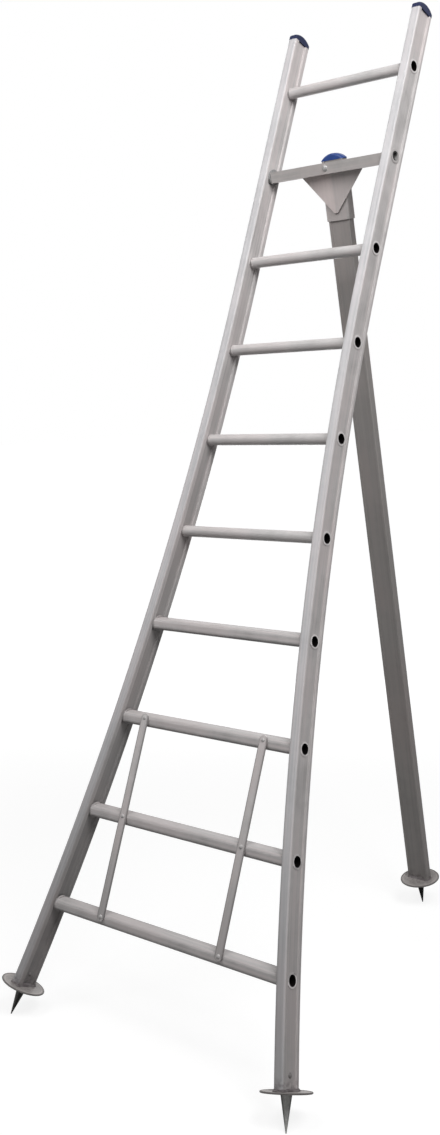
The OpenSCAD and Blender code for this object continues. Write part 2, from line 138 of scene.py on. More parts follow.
class Signal:
    """One shader socket that takes part in sums."""

    def __init__(self, sheet: "Sheet", socket: bpy.types.NodeSocket) -> None:
        """Keep the sheet and the socket."""
        self.sheet = sheet
        self.socket = socket

    def _maths(self, operation: str, first: Number, second: Number) -> "Signal":
        """Add one Math node.

        Args:
            operation: name of the sum.
            first: left operand.
            second: right operand.

        Returns:
            The result as a signal.
        """
        made = self.sheet.node("ShaderNodeMath", {"operation": operation}, {0: first, 1: second})
        return self.sheet.out(made)

    def __add__(self, other: Number) -> "Signal":
        """Sum of two values."""
        return self._maths("ADD", self, other)

    def __radd__(self, other: Number) -> "Signal":
        """Sum with a plain number on the left."""
        return self._maths("ADD", other, self)

    def __sub__(self, other: Number) -> "Signal":
        """Difference of two values."""
        return self._maths("SUBTRACT", self, other)

    def __rsub__(self, other: Number) -> "Signal":
        """Difference from a plain number."""
        return self._maths("SUBTRACT", other, self)

    def __mul__(self, other: Number) -> "Signal":
        """Product of two values."""
        return self._maths("MULTIPLY", self, other)

    def __rmul__(self, other: Number) -> "Signal":
        """Product with a plain number on the left."""
        return self._maths("MULTIPLY", other, self)

    def __truediv__(self, other: Number) -> "Signal":
        """Quotient of two values."""
        return self._maths("DIVIDE", self, other)

    def __abs__(self) -> "Signal":
        """Size of a value without its sign."""
        return self._maths("ABSOLUTE", self, 0.0)

    def highest(self, other: Number) -> "Signal":
        """Larger of two values."""
        return self._maths("MAXIMUM", self, other)

    def step(self, low: float, high: float) -> "Signal":
        """Smooth step.

        Args:
            low: value that becomes 0.
            high: value that becomes 1, which may lie below low.

        Returns:
            A signal between 0 and 1.
        """
        made = self.sheet.node(
            "ShaderNodeMapRange",
            {"interpolation_type": "SMOOTHSTEP"},
            {"Value": self, "From Min": low, "From Max": high},
        )
        return self.sheet.out(made)


class Sheet:
    """Node sheet of a material or of the world, with the socket numbers of a Mix node for colours."""

    MIX_FACTOR: int = 0
    MIX_COLOURS: Tuple[int, int] = (6, 7)
    MIX_RESULT: int = 2

    def __init__(self, tree: bpy.types.NodeTree) -> None:
        """Start with an empty sheet."""
        self.tree = tree
        tree.nodes.clear()

    def node(
        self,
        kind: str,
        settings: Optional[Mapping[str, object]] = None,
        sockets: Optional[Mapping[Union[str, int], object]] = None,
    ) -> bpy.types.Node:
        """Add one node.

        Args:
            kind: Blender's name of the node type.
            settings: properties, set first.
            sockets: values or signals by socket name or number.

        Returns:
            The new node.
        """
        made = self.tree.nodes.new(kind)
        for name, value in (settings or {}).items():
            setattr(made, name, value)
        for key, value in (sockets or {}).items():
            if isinstance(value, Signal):
                self.tree.links.new(value.socket, made.inputs[key])
            else:
                made.inputs[key].default_value = value
        return made

    def out(self, node: bpy.types.Node, socket: Union[str, int] = 0) -> Signal:
        """Output of a node as a signal."""
        return Signal(self, node.outputs[socket])

    def grain(self) -> Signal:
        """Coordinates laid along the piece, in metres, with z along its grain."""
        return self.out(self.node("ShaderNodeAttribute", {"attribute_name": GRAIN}), "Vector")

    def ends(self) -> Signal:
        """Distance from the nearer end of the piece, in metres."""
        return self.out(self.node("ShaderNodeAttribute", {"attribute_name": ENDS}), "Fac")

    def axes(self, vector: Signal) -> Tuple[Signal, Signal, Signal]:
        """Three parts of a vector."""
        parts = self.node("ShaderNodeSeparateXYZ", None, {0: vector})
        return self.out(parts, 0), self.out(parts, 1), self.out(parts, 2)

    def length(self, vector: Signal) -> Signal:
        """Length of a vector."""
        return self.out(self.node("ShaderNodeVectorMath", {"operation": "LENGTH"}, {0: vector}), "Value")

    def reach(self, vector: Signal) -> Signal:
        """Distance of a point from the z axis."""
        flat = self.node("ShaderNodeVectorMath", {"operation": "MULTIPLY"}, {0: vector, 1: (1.0, 1.0, 0.0)})
        return self.length(self.out(flat))

    def stretched(self, vector: Signal, scale: Triple, turn: Triple = (0.0, 0.0, 0.0)) -> Signal:
        """Vector through a Mapping node.

        Args:
            vector: coordinates to change.
            scale: scale along each axis.
            turn: turn about each axis in degrees.

        Returns:
            The changed coordinates.
        """
        angles = tuple(math.radians(angle) for angle in turn)
        values = {"Vector": vector, "Rotation": angles, "Scale": scale}
        return self.out(self.node("ShaderNodeMapping", None, values))

    def noise(self, vector: Signal, scale: float = 1.0, texture: Texture = Texture.PLAIN) -> Signal:
        """Noise between 0 and 1.

        Args:
            vector: coordinates of the pattern.
            scale: pattern steps per unit.
            texture: choice of its finer layers.

        Returns:
            The noise value.
        """
        detail, rough = texture.value
        values = {"Vector": vector, "Scale": scale, "Detail": detail, "Roughness": rough}
        return self.out(self.node("ShaderNodeTexNoise", None, values), "Fac")

    def mix(self, factor: Number, low: Paint, high: Paint) -> Signal:
        """Blend of two colours.

        Args:
            factor: 0 gives low and 1 gives high.
            low: first colour.
            high: second colour.

        Returns:
            The blended colour.
        """
        colours = [c if isinstance(c, Signal) else (*c, 1.0) for c in (low, high)]
        sockets = {self.MIX_FACTOR: factor, **dict(zip(self.MIX_COLOURS, colours))}
        made = self.node("ShaderNodeMix", {"data_type": "RGBA"}, sockets)
        return self.out(made, self.MIX_RESULT)

    def bump(self, height: Signal, strength: float, distance: float) -> Signal:
        """Surface normal from a height.

        Args:
            height: height pattern.
            strength: share of the full effect.
            distance: height of the pattern in metres.

        Returns:
            The normal.
        """
        values = {"Strength": strength, "Distance": distance, "Height": height}
        return self.out(self.node("ShaderNodeBump", None, values))

    @staticmethod
    def sway(base: Number, *parts: Tuple[float, Signal]) -> Signal:
        """Value that swings with some patterns.

        Args:
            base: value where every pattern is at its middle.
            parts: weight of each pattern, and the pattern.

        Returns:
            The base and the weighted swings in one sum.
        """
        total = base
        for weight, pattern in parts:
            total = total + weight * (pattern - NOISE_MIDDLE)
        return total


@dataclass(frozen=True)
class Finish:
    """Common part of all finishes: two tones of the colour, and the strength and height of the relief."""

    name: str
    colour: Colour
    roughness: float
    metallic: float = 0.0
    specular: float = 0.18
    tones: Span = (0.84, 1.16)
    relief: Span = (0.25, 0.05 * MM)

    def material(self) -> bpy.types.Material:
        """Material of this finish, made once.

        Returns:
            The material.
        """
        found = bpy.data.materials.get(self.name)
        if found:
            return found
        made = bpy.data.materials.new(self.name)
        made.use_nodes = True
        made.diffuse_color = (*self.colour, 1.0)
        sheet = Sheet(made.node_tree)
        constants = {"Metallic": self.metallic, "Specular IOR Level": self.specular}
        shader = sheet.node("ShaderNodeBsdfPrincipled", None, {**constants, **self.pattern(sheet)})
        sheet.node("ShaderNodeOutputMaterial", None, {"Surface": sheet.out(shader)})
        return made

    def pattern(self, sheet: Sheet) -> Inputs:
        """Shader inputs that change over the surface."""
        raise NotImplementedError

    def inputs(self, colour: Signal, rough: Signal, height: Signal) -> Inputs:
        """Shader inputs of a colour, a roughness and a height pattern."""
        normal = height.sheet.bump(height, *self.relief)
        return {"Base Color": colour, "Roughness": rough, "Normal": normal}

    def shade(self, share: float) -> Colour:
        """Colour of this finish times a share."""
        return tuple(share * c for c in self.colour)

    def tinted(self, tint: Triple) -> Colour:
        """Colour of this finish times a tint."""
        return tuple(t * c for t, c in zip(tint, self.colour))

    def toned(self, tone: Signal) -> Signal:
        """Colour between the two tones of this finish."""
        low, high = (self.shade(share) for share in self.tones)
        return tone.sheet.mix(tone, low, high)


@dataclass(frozen=True)
class Skin:
    """What the steps of a finish share: the sheet, the grain coordinates and the cloud pattern."""

    sheet: Sheet
    grain: Signal
    haze: Signal

    def along(self, measure: Measure) -> Signal:
        """Value of a measure over the surface.

        Args:
            measure: choice of the measure.

        Returns:
            Its value in metres.
        """
        if measure is REACH:
            return self.sheet.reach(self.grain)
        if measure is END:
            return self.sheet.ends()
        return self.sheet.axes(self.grain)[measure.value]


@dataclass(frozen=True)
class Patch:
    """Part of a surface: its strength, the smooth steps that bound it and its swing with the clouds."""

    strength: float
    steps: Tuple[Tuple[Measure, float, float], ...] = ()
    swing: float = 0.0

    def on(self, skin: Skin) -> Signal:
        """Strength of the patch over a surface.

        Args:
            skin: patterns of the metal.

        Returns:
            The swinging strength times all steps.
        """
        shown = skin.sheet.sway(self.strength, (self.swing, skin.haze))
        for measure, low, high in self.steps:
            shown = shown * skin.along(measure).step(low, high)
        return shown


def foot_shade_patch(strength: float = 0.33, top: float = 0.55, low: float = -0.2) -> Patch:
    """Patch of painted shade that grows from its top to its low end along the grain."""
    return Patch(strength, ((Z, top, low),), CLOUD_SWING)


@dataclass(frozen=True)
class Bore:
    """Painted shade inside a tube, with a painted lit side where glint is set, and a painted highlight on
    the rim at its ends.
    """

    radius: float
    glint: float = 0.0
    glint_way: Span = (0.6, 0.8)
    glint_span: Span = (0.1, 0.8)
    wall: Span = (0.8 * MM, 0.3 * MM)
    # Painted highlight on the rim and painted shade inside the bore.
    rim: Patch = Patch(0.7, ((END, 4 * MM, 2.5 * MM),))
    rim_tone: float = 1.4
    dark: Colour = (0.006, 0.005, 0.005)

    def lined(self, skin: Skin, metal: Finish, colour: Signal) -> Signal:
        """Colour with the painted highlight on the rim and the painted shade in the bore.

        Args:
            skin: patterns of the metal.
            metal: finish of the outside.
            colour: colour of the outside.

        Returns:
            The whole colour.
        """
        mix, reach = skin.sheet.mix, skin.along(REACH)
        hollow = self.dark
        if self.glint:
            down, back = self.glint_way
            lit = ((down * skin.along(X) + back * skin.along(Y)) / reach).step(*self.glint_span)
            hollow = mix(lit * self.glint, hollow, metal.colour)
        rim_lit = mix(self.rim.on(skin), colour, metal.shade(self.rim_tone))
        return mix(reach.step(*(self.radius + width for width in self.wall)), rim_lit, hollow)


@dataclass(frozen=True)
class MillAluminium(Finish):
    """Extruded aluminium as it leaves the die: lengthwise lines, hazy oxide and light handling scratches."""

    lines: float = 1500.0
    line_run: float = 9.0
    bands: float = 160.0
    band_run: float = 1.6
    band_height: float = 0.6
    haze: float = 16.0
    cloud_size: float = 5.0
    tone_weights: Weights = (0.9, 1.1, 1.3, 0.9)
    rough_weights: Weights = (0.22, 0.16)
    blush: float = 0.6
    blush_tint: Triple = (1.06, 1.0, 1.0)
    blush_bands: float = 0.5
    blush_span: Span = (0.42, 0.62)
    nicks: Triple = (260.0, 2600.0, 90.0)
    nick_turn: Triple = (35.0, 20.0, 0.0)
    nick_span: Span = (0.72, 0.78)
    nick_haze: Span = (0.5, 0.62)
    scratch: float = 0.5
    scratch_tone: float = 1.45
    scratch_shine: float = 0.08
    scratch_depth: float = 0.8
    bore: Optional[Bore] = None

    def pattern(self, sheet: Sheet) -> Inputs:
        """Die lines, haze bands, mottling and scratches.

        Args:
            sheet: sheet of the material.

        Returns:
            The inputs that they drive.
        """
        grain = sheet.grain()
        lines = sheet.noise(sheet.stretched(grain, (self.lines, self.lines, self.line_run)))
        bands = sheet.noise(sheet.stretched(grain, (self.bands, self.bands, self.band_run)))
        haze = sheet.noise(grain, self.haze, Texture.LIVELY)
        cloud = sheet.noise(grain, self.haze / self.cloud_size)
        nick = sheet.noise(sheet.stretched(grain, self.nicks, self.nick_turn), texture=Texture.SOFT)
        scratch = nick.step(*self.nick_span) * haze.step(*self.nick_haze)
        plain = self.toned(sheet.sway(NOISE_MIDDLE, *zip(self.tone_weights, (lines, bands, haze, cloud))))
        warm = sheet.sway(cloud, (self.blush_bands, bands)).step(*self.blush_span) * self.blush
        blush = sheet.mix(warm, plain, self.tinted(self.blush_tint))
        skin = Skin(sheet, grain, haze)
        colour = self.wear_and_shade(skin, sheet.mix(scratch * self.scratch, blush, self.shade(self.scratch_tone)))
        if self.bore:
            colour = self.bore.lined(skin, self, colour)
        rough = sheet.sway(self.roughness, *zip(self.rough_weights, (haze, bands)))
        height = lines + self.band_height * bands - self.scratch_depth * scratch
        return self.inputs(colour, rough - self.scratch_shine * scratch, height)

    def wear_and_shade(self, skin: Skin, colour: Signal) -> Signal:
        """Colour with wear and painted shade added, which is unchanged here."""
        return colour


@dataclass(frozen=True)
class FootShadedAluminium(MillAluminium):
    """Mill aluminium darkened towards the ground by painted shade, and mottled by heat at a welded end."""

    # Painted shade: the colour darkens towards the foot; the burnt patches below are real heat marks.
    foot_shade: Patch = foot_shade_patch()
    painted_shade_tone: float = 0.02
    heat: float = 0.6
    heat_end: float = NO_WELDED_END
    heat_reach: Span = (42 * MM, 6 * MM)
    patches: float = 75.0
    patch_span: Span = (0.38, 0.66)
    burnt: Colour = (0.11, 0.092, 0.1)

    def wear_and_shade(self, skin: Skin, colour: Signal) -> Signal:
        """Colour with painted shade that grows towards the foot and burnt patches at its end.

        Args:
            skin: patterns of the metal.
            colour: colour of the metal without the painted shade.

        Returns:
            The colour with painted shade and heat marks.
        """
        sheet = skin.sheet
        with_foot_shade = sheet.mix(self.foot_shade.on(skin) * self.shade_share(skin), colour, self.shade(self.painted_shade_tone))
        patches = sheet.noise(skin.grain, self.patches, Texture.PATCHY).step(*self.patch_span)
        hot = skin.along(Z).step(*(self.heat_end + reach for reach in self.heat_reach))
        return sheet.mix(hot * patches * self.heat, with_foot_shade, self.burnt)

    def shade_share(self, skin: Skin) -> Number:
        """Share of the painted shade that stays on each part of the section."""
        return 1.0


@dataclass(frozen=True)
class StileAluminium(FootShadedAluminium):
    """Finish of a stile: a cooler tint on the front as painted light, painted highlights on the front corner
    and the recess step, and painted shade on the sides.
    """

    # Painted light on the stile: the front patch tints the front cooler; the corner and slope patches are
    # painted highlights where less shade is kept; the outer and inner patches paint shade on the sides, and
    # the beads are spared from the inner shade.
    front: Patch = Patch(0.28, ((Y, -31 * MM, -33.5 * MM),))
    front_tint: Triple = (0.9, 1.0, 1.09)
    corner: Patch = Patch(0.6, ((X, 8 * MM, 11 * MM), (Y, -27 * MM, -30 * MM)))
    slope: Patch = Patch(0.9, ((X, 10.2 * MM, 11.5 * MM), (Y, 14 * MM, 17 * MM), (Y, 25 * MM, 22 * MM)))
    painted_light: Patch = Patch(0.35, ((X, 5 * MM, 9 * MM),))
    outer: Patch = Patch(0.1, ((X, 5 * MM, 9 * MM), (Z, 2.3, 1.7)))
    inner: Patch = Patch(0.42, ((X, -5 * MM, -9 * MM), (Z, 2.4, 0.9)), CLOUD_SWING)
    front_bead: Patch = Patch(0.65, ((Y, -16 * MM, -18.5 * MM),))
    rear_bead: Patch = Patch(0.65, ((Y, 16 * MM, 18.5 * MM), (Z, 0.6, 1.1)))

    def shade_share(self, skin: Skin) -> Number:
        """Less painted shade on the front corner and the step of the recess, which carry painted highlights,
        and on the rest of the outer side.
        """
        painted_light = self.corner.on(skin).highest(self.slope.on(skin))
        return 1.0 - painted_light.highest(self.painted_light.on(skin))

    def wear_and_shade(self, skin: Skin, colour: Signal) -> Signal:
        """Colour with a cooler tint on the front as painted light, painted shade towards the foot, and
        painted shade on the sides.

        Args:
            skin: patterns of the metal.
            colour: colour of the metal without painted light and shade.

        Returns:
            The colour with painted light and shade.
        """
        mix = skin.sheet.mix
        with_foot_shade = super().wear_and_shade(skin, mix(self.front.on(skin), colour, self.tinted(self.front_tint)))
        bead = 1.0 - self.rear_bead.on(skin).highest(self.front_bead.on(skin))
        darkening = (self.inner.on(skin) * bead).highest(self.outer.on(skin))
        return mix(darkening, with_foot_shade, self.shade(self.painted_shade_tone))


@dataclass(frozen=True)
class StrapAluminium(FootShadedAluminium):
    """Finish of a strap: painted shade on the rolled edges, which makes them darker than the middle."""

    middle: float = 217 * MM
    half: float = 12.5 * MM
    # Painted shade on the strap's edges.
    edge: float = 0.5
    edge_tone: float = 0.2
    edge_width: Span = (5 * MM, 0.5 * MM)

    def wear_and_shade(self, skin: Skin, colour: Signal) -> Signal:
        """Colour with painted shade towards the foot and on the edges."""
        edge = abs(abs(skin.along(X)) - self.middle).step(*(self.half - width for width in self.edge_width))
        return skin.sheet.mix(edge * self.edge, super().wear_and_shade(skin, colour), self.shade(self.edge_tone))


@dataclass(frozen=True)
class GussetAluminium(MillAluminium):
    """Finish of the folded gusset: painted shade in a thin line on the fold and on the right half."""

    # Painted shade: the fold line and the right wing are darkened, as the light falls on the two wings
    # unevenly.
    grey: float = 0.6
    half: Patch = Patch(0.3, ((X, -1 * MM, 3 * MM),), 0.2)
    fold: Patch = Patch(0.18, ((X, -3 * MM, -0.5 * MM), (X, 3 * MM, 0.5 * MM)))

    def wear_and_shade(self, skin: Skin, colour: Signal) -> Signal:
        """Colour with painted shade on the fold line and the right half."""
        grey = (self.grey * self.colour[1],) * 3
        return skin.sheet.mix(self.fold.on(skin).highest(self.half.on(skin)), colour, grey)


@dataclass(frozen=True)
class TreadAluminium(MillAluminium):
    """Finish of a standing rung: painted shade on the top, the rear edge, the underside and the collars."""

    # Painted shade on the tread: a darker top, a dark rear edge, a dark underside and darkened collars.
    darkening: float = 0.05
    top: Patch = Patch(0.26, ((X, -9 * MM, -13 * MM),), CLOUD_SWING)
    edge: Patch = Patch(0.55, ((Y, 9 * MM, 16 * MM), (X, 0.0, -8 * MM)))
    under: Patch = Patch(0.62, ((X, 2 * MM, 12.5 * MM),))
    collar: Patch = Patch(
        0.5, ((END, 15 * MM, 20 * MM), (END, 39.6 * MM, 38 * MM), (REACH, 17 * MM, 19 * MM))
    )

    def wear_and_shade(self, skin: Skin, colour: Signal) -> Signal:
        """Colour with painted shade on the top, the rear edge, the lower side and the collars."""
        tread_shade = self.top.on(skin) + self.edge.on(skin) + self.under.on(skin)
        return skin.sheet.mix(tread_shade.highest(self.collar.on(skin)), colour, self.shade(self.darkening))


@dataclass(frozen=True)
class PlatedSteel(Finish):
    """Zinc-plated sheet steel: soft spangle, smears, scorched middle, a painted highlight ring and painted
    shade on the rolled edge.
    """

    tones: Span = (0.78, 1.2)
    relief: Span = (0.3, 0.15 * MM)
    spangle: float = 95.0
    smear: float = 38.0
    fine: float = 420.0
    fine_height: float = 0.3
    tone_weights: Weights = (0.35, 1.5, 0.5)
    rough_weights: Weights = (0.08, 0.25)
    # Painted shade on the rolled rim and a painted highlight ring inside it; the scorch patches are real
    # heat marks.
    rim: Patch = Patch(0.75, ((REACH, PLATE_RADIUS - 5 * MM, PLATE_RADIUS - 2 * MM),), 0.5)
    rim_tone: float = 0.3
    ring: Patch = Patch(
        0.5,
        (
            (REACH, RING_RADIUS - 3 * MM, RING_RADIUS - 0.5 * MM),
            (REACH, RING_RADIUS + 3 * MM, RING_RADIUS + 0.5 * MM),
        ),
        0.6,
    )
    ring_tone: float = 1.5
    scorch: Patch = Patch(0.5, ((REACH, 58 * MM, 34 * MM),))
    scorched: Colour = (0.12, 0.1, 0.105)
    patches: float = 85.0
    patch_span: Span = (0.42, 0.62)

    def pattern(self, sheet: Sheet) -> Inputs:
        """Spangle cells, smears, a painted highlight ring and a painted shade rim round the plate's axis.

        Args:
            sheet: sheet of the material.

        Returns:
            The inputs that they drive.
        """
        grain = sheet.grain()
        cells = sheet.node("ShaderNodeTexVoronoi", None, {"Vector": grain, "Scale": self.spangle})
        spangle, _, _ = sheet.axes(sheet.out(cells, "Color"))
        smear = sheet.noise(grain, self.smear, Texture.SMEARED)
        fine = sheet.noise(grain, self.fine, Texture.FINE)
        skin = Skin(sheet, grain, smear)
        face = self.toned(sheet.sway(NOISE_MIDDLE, *zip(self.tone_weights, (spangle, smear, fine))))
        painted_light = sheet.mix(self.ring.on(skin), face, self.shade(self.ring_tone))
        patches = sheet.noise(grain, self.patches, Texture.PATCHY).step(*self.patch_span)
        burnt = sheet.mix(patches * self.scorch.on(skin), painted_light, self.scorched)
        colour = sheet.mix(self.rim.on(skin), burnt, self.shade(self.rim_tone))
        rough = sheet.sway(self.roughness, *zip(self.rough_weights, (spangle, smear)))
        return self.inputs(colour, rough, smear + self.fine_height * fine)


@dataclass(frozen=True)
class DarkSteel(Finish):
    """Turned steel with a dark scale, a painted highlight on one side, and rubbed bright towards the tip."""

    tones: Span = (0.6, 1.5)
    relief: Span = (0.4, 0.12 * MM)
    length: float = 94 * MM
    lathe: Triple = (30.0, 30.0, 1400.0)
    scale: float = 140.0
    tone_weights: Weights = (1.6, 0.5)
    rough_weight: float = 0.3
    # Painted highlight on one side of the spike.
    wear_and_highlight: float = 0.3
    highlight_tint: Triple = (1.0, 1.0, 0.97)
    highlight_angle: float = -50.0
    wear_and_highlight_span: Span = (0.35, 0.95)
    highlight_share: float = 0.6
    highlight_swing: float = 0.8
    tip: float = 0.4
    tip_start_share: float = 0.6
    tip_span: Span = (0.35, 0.7)

    def pattern(self, sheet: Sheet) -> Inputs:
        """Turning lines, scale, a painted highlight on one side and a brighter tip.

        Args:
            sheet: sheet of the material.

        Returns:
            The inputs that they drive.
        """
        grain = sheet.grain()
        x, y, z = sheet.axes(grain)
        turned = sheet.noise(sheet.stretched(grain, self.lathe))
        scale = sheet.noise(grain, self.scale, Texture.SMEARED)
        angle = math.radians(self.highlight_angle)
        facing = (math.cos(angle) * x + math.sin(angle) * y) / sheet.reach(grain)
        painted_light = facing.step(*self.wear_and_highlight_span) * sheet.sway(self.highlight_share, (self.highlight_swing, scale))
        tip = (0.0 - z).step(self.tip_start_share * self.length, self.length) * scale.step(*self.tip_span)
        body = self.toned(sheet.sway(NOISE_MIDDLE, *zip(self.tone_weights, (scale, turned))))
        bright = tuple(self.wear_and_highlight * share for share in self.highlight_tint)
        colour = sheet.mix(painted_light.highest(self.tip * tip), body, bright)
        return self.inputs(colour, sheet.sway(self.roughness, (self.rough_weight, scale)), turned + scale)


@dataclass(frozen=True)
class BrightFastener(Finish):
    """Rivet and bolt heads with small dents from setting."""

    tones: Span = (0.72, 1.22)
    relief: Span = (0.35, 0.12 * MM)
    dents: float = 520.0
    tarnish: float = 190.0
    rough_weight: float = 0.3

    def pattern(self, sheet: Sheet) -> Inputs:
        """Dents and faint tarnish.

        Args:
            sheet: sheet of the material.

        Returns:
            The inputs that they drive.
        """
        grain = sheet.grain()
        dents = sheet.noise(grain, self.dents, Texture.FINE)
        tarnish = sheet.noise(grain, self.tarnish, Texture.PATCHY)
        rough = sheet.sway(self.roughness, (self.rough_weight, tarnish))
        return self.inputs(self.toned(tarnish), rough, dents)


@dataclass(frozen=True)
class MouldedPlastic(Finish):
    """Moulded plastic with a fine spark-eroded grain and scuffed high spots."""

    tones: Span = (0.82, 1.18)
    relief: Span = (0.25, 0.06 * MM)
    grit: float = 1900.0
    flow: float = 55.0
    flow_rough: float = 0.2
    scuff: Colour = (0.3, 0.32, 0.4)
    scuff_share: float = 0.28
    scuff_rough: float = 0.25
    scuff_flow: Span = (0.42, 0.6)
    rubs: Triple = (90.0, 700.0, 700.0)
    rub_turn: Triple = (0.0, 0.0, 25.0)
    wear_and_highlight_span: Span = (0.62, 0.74)

    def pattern(self, sheet: Sheet) -> Inputs:
        """Mould grain, flow shading and scuffs.

        Args:
            sheet: sheet of the material.

        Returns:
            The inputs that they drive.
        """
        grain = sheet.grain()
        grit = sheet.noise(grain, self.grit)
        flow = sheet.noise(grain, self.flow, Texture.FINE)
        wear_and_highlight = sheet.noise(sheet.stretched(grain, self.rubs, self.rub_turn), texture=Texture.FINE)
        scuffs = wear_and_highlight.step(*self.wear_and_highlight_span) * flow.step(*self.scuff_flow)
        colour = sheet.mix(scuffs * self.scuff_share, self.toned(flow), self.scuff)
        rough = sheet.sway(self.roughness, (self.flow_rough, flow)) + self.scuff_rough * scuffs
        return self.inputs(colour, rough, grit)


class Bench:
    """Modelling steps on one object at a time, with limits in metres and degrees."""

    MERGE: float = 0.001 * MM
    FLAT: float = 0.05
    SHARP: float = 35.0
    SMOOTH: float = 32.0
    ROUNDING_FACES: int = 2

    @staticmethod
    def clear() -> None:
        """Leave edit mode and deselect everything."""
        if bpy.context.mode != "OBJECT":
            bpy.ops.object.mode_set(mode="OBJECT")
        bpy.ops.object.select_all(action="DESELECT")

    @staticmethod
    def pick(piece: bpy.types.Object) -> None:
        """Make a piece the only selected and active object.

        Args:
            piece: piece to pick.
        """
        Bench.clear()
        piece.select_set(True)
        bpy.context.view_layer.objects.active = piece

    @staticmethod
    def edit(piece: bpy.types.Object, all_selected: bool = True) -> None:
        """Open a piece in edit mode.

        Args:
            piece: piece to open.
            all_selected: selects the whole piece, or else nothing.
        """
        Bench.pick(piece)
        bpy.ops.object.mode_set(mode="EDIT")
        bpy.ops.mesh.select_all(action="SELECT" if all_selected else "DESELECT")

    @staticmethod
    def select(piece: bpy.types.Object, test: Callable[[Vector], bool]) -> None:
        """Open a piece in edit mode with only the vertices that pass a test selected.

        Args:
            piece: piece to open.
            test: says of a vertex place whether it is wanted.
        """
        Bench.edit(piece, False)
        bpy.ops.mesh.select_mode(type="VERT")
        bpy.ops.object.mode_set(mode="OBJECT")
        for vertex in piece.data.vertices:
            vertex.select = test(vertex.co)
        bpy.ops.object.mode_set(mode="EDIT")

    @staticmethod
    def cut(piece: bpy.types.Object, cutter: bpy.types.Object) -> None:
        """Take one piece out of another and drop the cutter.

        Args:
            piece: piece to cut.
            cutter: closed mesh that is taken away.
        """
        Bench.pick(piece)
        hole = piece.modifiers.new("hole", "BOOLEAN")
        hole.operation = "DIFFERENCE"
        hole.solver = "EXACT"
        hole.object = cutter
        bpy.ops.object.modifier_apply(modifier=hole.name)
        bpy.data.objects.remove(cutter, do_unlink=True)

    @staticmethod
    def settle(piece: bpy.types.Object, matrix: Matrix) -> None:
        """Move a piece and keep the move in its mesh.

        Args:
            piece: piece to move.
            matrix: place of the piece in the shared frame.
        """
        Bench.pick(piece)
        piece.matrix_world = matrix
        bpy.ops.object.transform_apply(location=True, rotation=True, scale=True)
        Bench.edit(piece)
        bpy.ops.mesh.normals_make_consistent(inside=False)
        Bench.clear()

    @staticmethod
    def copy_of(node: str, name: str) -> bpy.types.Object:
        """Copy a node's mesh into a new piece with its triangles merged.

        Args:
            node: name of the node.
            name: name of the piece.

        Returns:
            The new piece.
        """
        mesh = frame["nodes"][node].data.copy()
        mesh.materials.clear()
        piece = bpy.data.objects.new(name, mesh)
        bpy.context.scene.collection.objects.link(piece)
        Bench.pick(piece)
        bpy.ops.mesh.customdata_custom_splitnormals_clear()
        Bench.edit(piece)
        bpy.ops.mesh.remove_doubles(threshold=Bench.MERGE)
        bpy.ops.mesh.mark_sharp(clear=True)
        bpy.ops.mesh.dissolve_limited(angle_limit=math.radians(Bench.FLAT))
        Bench.clear()
        return piece

    @staticmethod
    def round_edges(piece: bpy.types.Object, width: float, angle: float = SHARP) -> None:
        """Round every edge sharper than an angle.

        Args:
            piece: piece to change.
            width: width of the rounding in metres.
            angle: least angle between faces, in degrees.
        """
        Bench.pick(piece)
        rounding = piece.modifiers.new("rounding", "BEVEL")
        rounding.width = width
        rounding.segments = Bench.ROUNDING_FACES
        rounding.limit_method = "ANGLE"
        rounding.angle_limit = math.radians(angle)
        bpy.ops.object.modifier_apply(modifier=rounding.name)

    @staticmethod
    def lay_grain(piece: bpy.types.Object, place: Place) -> None:
        """Write grain coordinates to every vertex.

        Args:
            piece: piece to change.
            place: turns a point of the shared frame into grain coordinates.
        """
        mesh = piece.data
        stored = mesh.attributes.new(GRAIN, "FLOAT_VECTOR", "POINT")
        for vertex, value in zip(mesh.vertices, stored.data):
            value.vector = place(vertex.co)

    @staticmethod
    def lay_ends(piece: bpy.types.Object) -> None:
        """Write the distance from the nearer end along the grain to every face.

        Args:
            piece: piece with grain coordinates.
        """
        mesh = piece.data
        spots = [value.vector.z for value in mesh.attributes[GRAIN].data]
        far = max(abs(spot) for spot in spots)
        stored = mesh.attributes.new(ENDS, "FLOAT", "FACE")
        for value, face in zip(stored.data, mesh.polygons):
            corners = [spots[corner] for corner in face.vertices]
            value.value = far - abs(sum(corners)) / len(corners)

    @staticmethod
    def hand_in(piece: bpy.types.Object, body: Body, slot: Slot, finish: Finish, *nodes: str) -> None:
        """Dress a piece, smooth it and set it on its body.

        Args:
            piece: finished mesh.
            body: body that it moves with.
            slot: material slot of the record; not used.
            finish: finish of its surface.
            nodes: nodes that it stands for.
        """
        piece.data.materials.clear()
        piece.data.materials.append(finish.material())
        Bench.pick(piece)
        bpy.ops.object.shade_smooth_by_angle(angle=math.radians(Bench.SMOOTH))
        even = piece.modifiers.new("even", "WEIGHTED_NORMAL")
        even.keep_sharp = True
        bpy.ops.object.modifier_apply(modifier=even.name)
        Bench.clear()
        if nodes:
            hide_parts(*nodes)
        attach(piece, body.value)
        log.info("%s: %d faces on %s", piece.name, len(piece.data.polygons), body.value)


